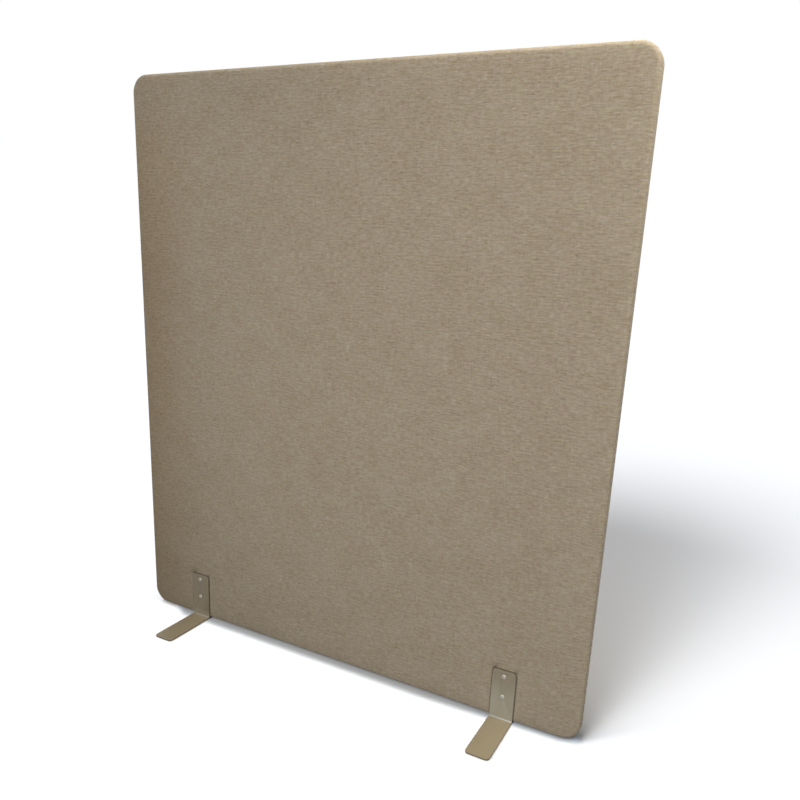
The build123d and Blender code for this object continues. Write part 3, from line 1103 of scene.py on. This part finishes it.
def foot_screw_tree(material):
    """Four screws on a grid in front, each turned at random, and their twins behind."""
    tree, given = new_geometry_tree(
        "foot_screw_places", ("Foot Spacing", "Screw Spacing", "Height", "Seat Depth"), ("Seed",)
    )
    seats = vector(tree, 0.0, times(tree, given["Seat Depth"], -1.0), given["Height"])
    upright = (math.pi / 2, 0, 0)
    points = two_rows(tree, given["Foot Spacing"], given["Screw Spacing"], 2, upright, seats)
    turn = wire(tree, "FunctionNodeRandomValue", {3: 2 * math.pi, "Seed": given["Seed"]}, data_type="FLOAT")
    screws = set_out(tree, points, given["Geometry"], Rotation=vector(tree, y=turn.outputs[1]))
    behind = wire(tree, "GeometryNodeTransform", {"Geometry": screws, "Rotation": (0, 0, math.pi)}).outputs[0]
    both = tree.nodes.new("GeometryNodeJoinGeometry")
    for part in (screws, behind):
        tree.links.new(part, both.inputs[0])
    return end_tree(tree, both.outputs[0], material)


class SCREEN_OT_make_screws(bpy.types.Operator):
    """Makes the eight round-headed screws of the feet"""

    bl_idname = "screen.make_screws"
    bl_label = "Make Screws"

    def execute(self, context):
        look = settings("screen_foot")
        material = plated_material("screw_plate", look.zinc_colour, rough=0.62, metal=0.5)
        screws = add_piece("round_foot_screws", *foot_screw_mesh(), material)
        spread(screws, foot_screw_tree(material), {
            "Foot Spacing": foot_places[1] - foot_places[0],
            "Screw Spacing": screw_heights[1] - screw_heights[0],
            "Height": sum(screw_heights) / 2,
            "Seat Depth": screw_face - look.head_height,
            "Seed": look.turn_seed,
        })
        screws.data.set_sharp_from_angle(angle=math.radians(50))
        seat(screws, "screw_zinc", "foot_screws")
        return {"FINISHED"}


# The flat wire's outline, in halves of its width and thickness
WIRE_OUTLINE = ((-1, -0.6), (-1, 0.6), (-0.6, 1), (0.6, 1), (1, 0.6), (1, -0.6), (0.6, -1), (-0.6, -1))


def staple_mesh():
    """One staple under the origin, its crown level and its legs upwards, with round corners."""
    look = settings("screen_trim")
    half, bend = look.staple_crown / 2, look.wire_thickness
    path = [(-half, look.staple_leg)]
    steps = 4
    for step in range(steps + 1):
        angle = math.pi / 2 * step / steps
        path.append((-half + bend * (1 - math.cos(angle)), bend * (1 - math.sin(angle))))
    path += [(-x, z) for x, z in reversed(path)]
    wide, thick = look.wire_width / 2, look.wire_thickness / 2
    rings = []
    for index, (x, z) in enumerate(path):
        before, after = path[max(index - 1, 0)], path[min(index + 1, len(path) - 1)]
        ahead = Vector((after[0] - before[0], after[1] - before[1])).normalized()
        rings.append([
            (x + out * thick * ahead.y, side * wide, z - out * thick * ahead.x) for side, out in WIRE_OUTLINE
        ])
    return tube(rings)


def staple_tree(material):
    """Two rows of staples along the closing strip."""
    tree, given = new_geometry_tree("staple_rows", ("Row Length", "Row Spacing", "Height"), ("Count",))
    low = vector(tree, z=given["Height"])
    points = two_rows(tree, given["Row Length"], given["Row Spacing"], given["Count"], (0, 0, 0), low)
    return end_tree(tree, set_out(tree, points, given["Geometry"]), material)


def make_staples():
    """The staples that shut the cover under the panel."""
    look = settings("screen_trim")
    material = plated_material("staple_wire", look.staple_colour, rough=0.30)
    low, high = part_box("cover_staples")
    piece = add_piece("bottom_cover_staples", *staple_mesh(), material)
    spread(piece, staple_tree(material), {
        "Row Length": high.x - low.x - look.staple_crown - look.wire_thickness,
        "Row Spacing": look.staple_rows,
        "Count": look.staple_count,
        "Height": low.z + look.wire_thickness / 2,
    })
    seat(piece, "staple_wire", "cover_staples")


def make_strip():
    """The woven tape over the line where the two cloths meet."""
    look = settings("screen_trim")
    low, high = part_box("bottom_closing_strip")
    edge, roof = look.tape_edge, high.z
    bends, lifts = 14, 22
    rings = []
    for x in np.linspace(low.x, high.x, look.tape_columns + 1):
        wander = look.tape_wander * noise.noise(Vector((x * bends, 3.0, 0)))
        floor = low.z + look.tape_lift * (1 + noise.noise(Vector((x * lifts, 8.0, 0))))
        front, behind = low.y + look.tape_margin + wander, high.y - look.tape_margin + wander
        rings.append([
            (x, front, floor + edge), (x, front + edge, floor), (x, behind - edge, floor),
            (x, behind, floor + edge), (x, behind, roof - edge), (x, behind - edge, roof),
            (x, front + edge, roof), (x, front, roof - edge),
        ])
    piece = add_piece("bottom_closing_tape", *tube(rings), tape_material())
    piece.data.set_sharp_from_angle(angle=math.radians(60))
    seat(piece, "closing_tape", "bottom_closing_strip")


def seam_path():
    """The line of the seam, up one side, over the top and down the other."""
    look = settings("screen_cover")
    radius = look.corner_radius - look.seam_depth
    out_x, out_z = core_sizes()
    steps = 12
    points = []
    for x, z, start in ((-out_x, -out_z, 270), (-out_x, out_z, 180), (out_x, out_z, 90), (out_x, -out_z, 0)):
        for step in range(steps + 1):
            angle = math.radians(start - 90 * step / steps)
            points.append((x + radius * math.cos(angle), 0, panel_middle + z + radius * math.sin(angle)))
    return points


def stitch_tree(material):
    """Stitches set across the seam at an even pitch."""
    tree, given = new_geometry_tree("seam_stitches", ("Pitch", "Stitch Length", "Thread Radius", "Slant"))
    path = wire(tree, "GeometryNodeMeshToCurve", {"Mesh": given["Geometry"]}).outputs[0]
    evenly = wire(tree, "GeometryNodeResampleCurve", {"Curve": path, "Length": given["Pitch"]}, mode="LENGTH")
    tangent = tree.nodes.new("GeometryNodeInputTangent").outputs[0]
    facing = wire(tree, "FunctionNodeAlignRotationToVector", {"Vector": tangent}, axis="X", pivot_axis="Y")
    slanted = wire(tree, "FunctionNodeRotateRotation", {
        "Rotation": facing.outputs[0], "Rotate By": vector(tree, z=given["Slant"]),
    }, rotation_space="LOCAL")
    bead = wire(tree, "GeometryNodeMeshUVSphere", {"Segments": 6, "Rings": 5, "Radius": 1.0}).outputs["Mesh"]
    thread = given["Thread Radius"]
    size = vector(tree, thread, times(tree, given["Stitch Length"], 0.5), thread)
    stitches = set_out(tree, evenly.outputs[0], bead, Rotation=slanted.outputs[0], Scale=size)
    return end_tree(tree, stitches, material)


def make_stitches(material):
    """The sewn seam that joins the two covers round the middle of the edge."""
    look = settings("screen_trim")
    mesh = bpy.data.meshes.new("edge_seam_stitches")
    points = seam_path()
    mesh.from_pydata(points, [(step, step + 1) for step in range(len(points) - 1)], [])
    piece = linked("edge_seam_stitches", mesh)
    spread(piece, stitch_tree(material), {
        "Pitch": look.stitch_pitch,
        "Stitch Length": look.stitch_length,
        "Thread Radius": look.stitch_radius,
        "Slant": look.stitch_slant,
    })
    seat(piece, "cover_cloth")


class SCREEN_OT_make_trim(bpy.types.Operator):
    """Makes the closing strip, the staples and the edge seam's stitches"""

    bl_idname = "screen.make_trim"
    bl_label = "Make Trim"

    def execute(self, context):
        make_strip()
        make_staples()
        thread = settings("screen_cover").body_colour
        make_stitches(felt_material("sewing_thread", thread, fibre=0.0006, contrast=0.25))
        return {"FINISHED"}


# Stage


# The shade painted on the floor round the panel, in metres and in slopes.
# At the left end: how far in it begins to narrow, how fast it narrows, and how fast beyond the end
LEFT_REACH, LEFT_SLOPE, BEYOND_SLOPE = 0.14, 0.5, 1.5
# In front, towards the right: where it begins and stops narrowing, and how long the corner's part is
TAPER_START, TAPER_END, CORNER_REACH = 0.22, 0.70, 0.05
# Behind: how much a step back counts against a step aside
BEHIND_SHARE = 0.4
# Its slanting limit at the right end: its direction, how far in it lies, where it starts and ends,
# and how much softer it grows with each metre to the right
END_X, END_Y, END_INSET = -0.53, 0.85, 0.015
END_START, END_STOP, END_SPREAD = -0.004, 0.014, 0.5

# The floor's half width, and for the shade beside the feet the way it is looked for and its range
FLOOR_HALF, SHADE_LEAN, SHADE_RANGE = 30.0, (-0.5, 0.0, 1.0), (0.55, 0.95)
# How large the spots are, which softens their shadows
SPOT_RADIUS = 0.3


def seen_directly(tree):
    """1 for rays from the camera and for what gloss or glass shows of the surroundings."""
    path = wire(tree, "ShaderNodeLightPath").outputs
    seen = larger(tree, path["Is Camera Ray"], path["Is Glossy Ray"])
    return larger(tree, seen, path["Is Transmission Ray"])


def painted_panel_shade(tree):
    """Light left on the floor in each colour by a painted shade: narrow before the panel and wide behind it.
    """
    look = settings("screen_stage")
    x, y, _ = split(tree, object_coordinates(tree))
    ahead = calc(tree, "SUBTRACT", -panel_half_thickness, y)
    behind = larger(tree, calc(tree, "SUBTRACT", y, panel_half_thickness))
    right = larger(tree, calc(tree, "SUBTRACT", x, panel_half_width))
    left = larger(tree, sloped(tree, x, -LEFT_SLOPE, LEFT_SLOPE * (LEFT_REACH - panel_half_width)))
    beyond = larger(tree, sloped(tree, x, -BEYOND_SLOPE, -BEYOND_SLOPE * panel_half_width))
    taper = plus(
        tree, ramp(tree, x, TAPER_START, TAPER_END, 0.0, look.contact_taper),
        ramp(tree, x, panel_half_width - CORNER_REACH, panel_half_width, 0.0, look.corner_taper),
    )
    away = plus(tree, plus(tree, ahead, plus(tree, left, beyond)), taper)
    far = calc(tree, "POWER", times(tree, behind, BEHIND_SHARE), 2.0)
    aside = calc(tree, "SQRT", sloped(tree, right, right, far))
    fade = calc(tree, "EXPONENT", times(tree, calc(tree, "SQRT", aside), -look.side_fade))
    end = END_Y * panel_half_thickness - END_X * (panel_half_width - END_INSET)
    slant = sloped(tree, y, END_Y, sloped(tree, x, END_X, end))
    fade = times(tree, fade, ramp(tree, slant, END_START, sloped(tree, right, END_SPREAD, END_STOP)))
    beside = sloped(tree, fade, -look.side_shade, 1.0)
    return [
        larger(tree, beside, ramp(tree, away, look.contact_start - lead, look.contact_end - lead, shade))
        for shade, lead in zip(look.contact_shade, look.contact_lead)
    ]


def either(tree, factor, first, second):
    """A mix of two shaders."""
    return wire(tree, "ShaderNodeMixShader", {0: factor, 1: first, 2: second}).outputs[0]


def make_floor():
    """A pale floor that looks white where nothing shades it, with painted shade beside the feet and round the
    panel, and can't be seen from below.
    """
    look = settings("screen_stage")
    mesh = bpy.data.meshes.new("studio_floor")
    corners = [(FLOOR_HALF * x, FLOOR_HALF * y, 0) for x, y in ((-1, -1), (1, -1), (1, 1), (-1, 1))]
    mesh.from_pydata(corners, [], [(0, 1, 2, 3)])
    floor = linked("studio_floor", mesh)
    material, tree = new_material("pale_floor")
    plain = wire(tree, "ShaderNodeBsdfDiffuse", {"Color": opaque(look.floor_colour)}).outputs[0]
    beside = wire(tree, "ShaderNodeAmbientOcclusion", {
        "Distance": look.foot_reach, "Normal": vector(tree, *SHADE_LEAN),
    }, samples=12).outputs["AO"]
    near_foot = ramp(tree, beside, *SHADE_RANGE, look.foot_shade)
    gain = coloured(tree, [
        times(tree, calc(tree, "MINIMUM", near_foot, near_panel), look.floor_gain * tint)
        for near_panel, tint in zip(painted_panel_shade(tree), look.floor_tint)
    ])
    white = wire(tree, "ShaderNodeBsdfDiffuse", {"Color": gain}).outputs[0]
    shown = either(tree, seen_directly(tree), plain, white)
    below = wire(tree, "ShaderNodeNewGeometry").outputs["Backfacing"]
    clear = wire(tree, "ShaderNodeBsdfTransparent").outputs[0]
    wire(tree, "ShaderNodeOutputMaterial", {"Surface": either(tree, below, shown, clear)})
    mesh.materials.append(material)
    floor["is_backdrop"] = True


def make_world():
    """Even light from all round, and plain white where the camera looks past the floor."""
    world = bpy.data.worlds.new("studio_air")
    tree = empty_tree(world)
    fill, white = (
        wire(tree, "ShaderNodeBackground", {"Color": (1, 1, 1, 1), "Strength": strength}).outputs[0]
        for strength in (settings("screen_stage").fill_strength, 1.0)
    )
    wire(tree, "ShaderNodeOutputWorld", {"Surface": either(tree, seen_directly(tree), fill, white)})
    bpy.context.scene.world = world


def aimed(name, data, place, aim, axis="-Z"):
    """An object at the place that holds the data, with its axis turned along the aim."""
    holder = linked(name, data)
    holder.matrix_world = Matrix.Translation(place) @ aim.to_track_quat(axis, "Y").to_matrix().to_4x4()
    return holder


def add_key_lamps():
    """Three soft, distant lamps side by side, which light the screen and the floor evenly."""
    look = settings("screen_stage")
    for step in (-1, 0, 1):
        lamp = bpy.data.lights.new("key_lamp", "SUN")
        lamp.angle = look.key_softness
        lamp.energy = look.key_level * math.pi / 3
        side = look.key_side + step * look.key_spread
        level = math.cos(look.key_height)
        towards = Vector((-math.sin(side) * level, -math.cos(side) * level, math.sin(look.key_height)))
        aimed("key_lamp", lamp, (0, 0, 0), towards, "Z")


def add_piece_lamp(name, kind, place, target, power, light, receivers):
    """A lamp at a place, turned towards a target, that lights some pieces alone."""
    lamp = bpy.data.lights.new(name, kind)
    lamp.energy, lamp.color = power, light
    holder = aimed(name, lamp, place, Vector(target) - Vector(place))
    holder.light_linking.receiver_collection = receivers
    return lamp


def make_camera():
    """The camera at the photograph's viewing angle."""
    look = settings("screen_stage")
    back = -Vector(look.camera_ahead).normalized()
    up = back.cross(Vector(look.camera_right).normalized()).normalized()
    data = bpy.data.cameras.new("screen_camera")
    data.sensor_width = 36.0
    data.lens = look.camera_lens
    data.shift_x, data.shift_y = look.camera_shift_x, look.camera_shift_y
    camera = linked("screen_camera", data)
    turned = Matrix((up.cross(back), up, back)).transposed().to_4x4()
    camera.matrix_world = Matrix.Translation(look.camera_place) @ turned
    bpy.context.scene.camera = camera


class SCREEN_OT_make_stage(bpy.types.Operator):
    """Makes the floor, the lights and the camera"""

    bl_idname = "screen.make_stage"
    bl_label = "Make Stage"

    def execute(self, context):
        look = settings("screen_stage")
        make_floor()
        make_world()
        make_camera()
        add_key_lamps()
        screen = bpy.data.collections.new("lit_screen")
        feet = bpy.data.collections.new("lit_feet")
        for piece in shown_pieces():
            screen.objects.link(piece)
            if piece.name.endswith("_foot_bar"):
                feet.objects.link(piece)
        front, over = look.front_light, look.over_light
        for name, place, target, power, cone, blend in (
            ("front_lamp", (1.6, -3.4, 1.6), (0.5, 0, 0.85), look.front_power, look.front_cone, 0.6),
            ("corner_lamp", (-1.3, -1.8, 2.6), (-0.72, 0, 1.54), look.corner_power, look.corner_cone, 1.0),
            ("low_lamp", (-0.6, -3.2, 1.2), (-0.2, 0, 0.75), look.low_power, look.low_cone, 1.0),
        ):
            lamp = add_piece_lamp(name, "SPOT", place, target, power, front, screen)
            lamp.spot_size, lamp.spot_blend, lamp.shadow_soft_size = cone, blend, SPOT_RADIUS
        for name, place, target, power, size, light, lit in (
            ("over_lamp", (1.1, -0.12, 2.8), (0.5, -0.1, 0), look.over_power, 0.5, over, screen),
            ("feet_lamp", (0.9, -0.3, 2.4), (0.3, -0.1, 0), look.feet_power, 0.6, over, feet),
            ("back_lamp", (0.5, 3.0, 1.6), (0, 0, 0.8), look.back_power, 2.0, front, screen),
        ):
            add_piece_lamp(name, "AREA", place, target, power, light, lit).size = size
        context.scene.view_settings.view_transform = "Standard"
        return {"FINISHED"}


class SCREEN_PT_panel(bpy.types.Panel):
    """Lists the steps that dress the screen"""

    bl_idname = "SCREEN_PT_panel"
    bl_label = "Upholstered Screen"
    bl_space_type = "VIEW_3D"
    bl_region_type = "UI"
    bl_category = "Screen"

    def draw(self, context):
        for step in STEPS:
            self.layout.operator(step.bl_idname)
        for name in GROUPS:
            group = getattr(context.scene, name)
            box = self.layout.box()
            for key in group.bl_rna.properties.keys():
                if key not in ("rna_type", "name"):
                    box.prop(group, key)


STEPS = (
    SCREEN_OT_make_covers,
    SCREEN_OT_make_padding,
    SCREEN_OT_finish_timber,
    SCREEN_OT_make_feet,
    SCREEN_OT_make_screws,
    SCREEN_OT_make_trim,
    SCREEN_OT_make_stage,
)
GROUPS = {
    "screen_cover": ScreenCoverSettings,
    "screen_padding": ScreenPaddingSettings,
    "screen_foot": ScreenFootSettings,
    "screen_trim": ScreenTrimSettings,
    "screen_stage": ScreenStageSettings,
}


def register():
    """Registers the classes and puts the settings on the scene."""
    for group in (*GROUPS.values(), *STEPS, SCREEN_PT_panel):
        bpy.utils.register_class(group)
    for name, group in GROUPS.items():
        setattr(bpy.types.Scene, name, PointerProperty(type=group))


def unregister():
    """Takes the settings and the classes away again."""
    for name in GROUPS:
        delattr(bpy.types.Scene, name)
    for group in (SCREEN_PT_panel, *reversed(STEPS), *reversed(GROUPS.values())):
        bpy.utils.unregister_class(group)


def main():
    """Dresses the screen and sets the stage."""
    register()
    bpy.ops.screen.make_covers()
    bpy.ops.screen.make_padding()
    bpy.ops.screen.finish_timber()
    bpy.ops.screen.make_feet()
    bpy.ops.screen.make_screws()
    bpy.ops.screen.make_trim()
    bpy.ops.screen.make_stage()


if __name__ == "__main__":
    main()
